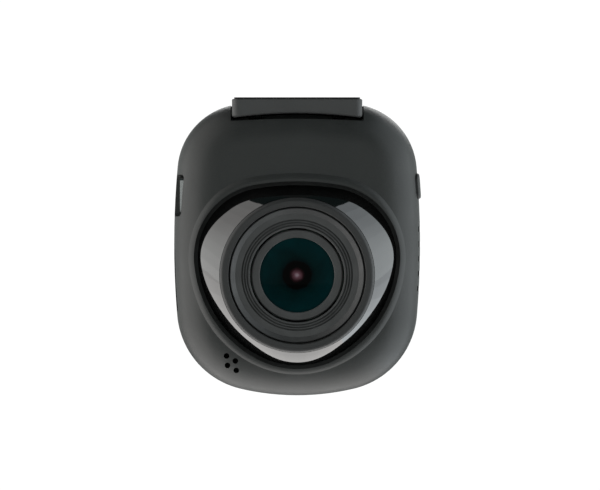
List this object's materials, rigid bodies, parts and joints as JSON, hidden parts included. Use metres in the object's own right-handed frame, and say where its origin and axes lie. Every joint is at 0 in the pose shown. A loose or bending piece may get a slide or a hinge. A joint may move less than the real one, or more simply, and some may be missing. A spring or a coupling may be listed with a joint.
{
  "type": "dash camera",
  "caption": "Compact dash camera: rounded domed case with a large lens, side ports and vents, a rear screen with keys, hanging from a tilting adhesive plate.",
  "frame": {"origin": "centre of the adhesive pad's top face, where it meets the windscreen", "axes": "+Z out of the pad towards the windscreen, -Y along the lens's line of sight, +X towards the vented side with the power button"},
  "size_m": [0.0544, 0.0359, 0.0657],
  "materials": {
    "case_plastic": "fine satin grain, dark graphite",
    "trim_gloss": "polished black",
    "barrel_black": "smooth satin black",
    "hood_metal": "black anodised with a bright bevel",
    "coated_glass": "teal anti-reflection coating",
    "clear_glass": "polished",
    "steel": "satin",
    "rubber": "soft black",
    "board": "green solder mask",
    "chip": "moulded black",
    "dark_plastic": "moulded black",
    "aluminium": "satin",
    "foil": "soft foil pouch",
    "screen_glass": "polished dark window",
    "screen_layer": "white diffuser",
    "ribbon": "amber film",
    "clear_plastic": "clear light guide"
  },
  "bodies": {
    "mount": {"adhesive_pad": "rubber", "mount_plate": "case_plastic", "hinge_pin": "steel", "friction_washers": "steel"},
    "camera": {"hinge_bracket": "steel", "bracket_screws": "steel", "front_shell": "case_plastic", "rear_shell": "case_plastic", "case_screws": "steel", "lens_trim": "trim_gloss", "lens_shroud": "barrel_black", "lens_hood": "hood_metal", "lens_retainer": "hood_metal", "front_element": "coated_glass", "lens_barrel": "hood_metal", "second_element": "clear_glass", "spacer_ring": "aluminium", "aperture_stop": "dark_plastic", "third_element": "clear_glass", "rear_element": "clear_glass", "lens_holder": "dark_plastic", "focus_lock_ring": "aluminium", "ir_filter": "coated_glass", "image_sensor": "chip", "holder_screws": "steel", "main_board": "board", "board_screws": "steel", "processor": "chip", "thermal_pad": "rubber", "heat_spreader": "aluminium", "memory_chips": "chip", "motion_sensor": "chip", "power_coils": "chip", "usb_receptacle": "steel", "usb_tongue": "dark_plastic", "card_socket": "steel", "power_switch": "dark_plastic", "speaker": "dark_plastic", "microphone": "steel", "microphone_boot": "rubber", "battery": "foil", "battery_tape": "rubber", "display_window": "screen_glass", "display_panel": "screen_glass", "display_backlight": "screen_layer", "display_frame": "steel", "display_flex": "ribbon", "display_connector": "dark_plastic", "key_board": "board", "key_switches": "steel", "key_screws": "steel", "status_light": "screen_layer", "light_pipe": "clear_plastic"},
    "power_button_body": {"power_button": "dark_plastic"},
    "memory_card_body": {"memory_card": "dark_plastic"},
    "key_a_body": {"key_a": "dark_plastic"},
    "key_b_body": {"key_b": "dark_plastic"},
    "key_c_body": {"key_c": "dark_plastic"},
    "key_d_body": {"key_d": "dark_plastic"}
  },
  "joints": [
    {"name": "mount_tilt", "type": "hinge", "parent": "mount", "child": "camera", "pos_m": [0, -0.0104, -0.0021], "axis": [-1, 0, 0], "range_deg": [0, 55]},
    {"name": "power_button_press", "type": "slide", "parent": "camera", "child": "power_button_body", "axis": [-1, 0, 0], "range_m": [0, 0.0004], "stiffness_N_per_m": 1500},
    {"name": "memory_card_slide", "type": "slide", "parent": "camera", "child": "memory_card_body", "axis": [-1, 0, 0], "range_m": [0, 0.016]},
    {"name": "key_a_press", "type": "slide", "parent": "camera", "child": "key_a_body", "axis": [0, -1, 0], "range_m": [0, 0.0004], "stiffness_N_per_m": 1500},
    {"name": "key_b_press", "type": "slide", "parent": "camera", "child": "key_b_body", "axis": [0, -1, 0], "range_m": [0, 0.0004], "stiffness_N_per_m": 1500},
    {"name": "key_c_press", "type": "slide", "parent": "camera", "child": "key_c_body", "axis": [0, -1, 0], "range_m": [0, 0.0004], "stiffness_N_per_m": 1500},
    {"name": "key_d_press", "type": "slide", "parent": "camera", "child": "key_d_body", "axis": [0, -1, 0], "range_m": [0, 0.0004], "stiffness_N_per_m": 1500}
  ]
}
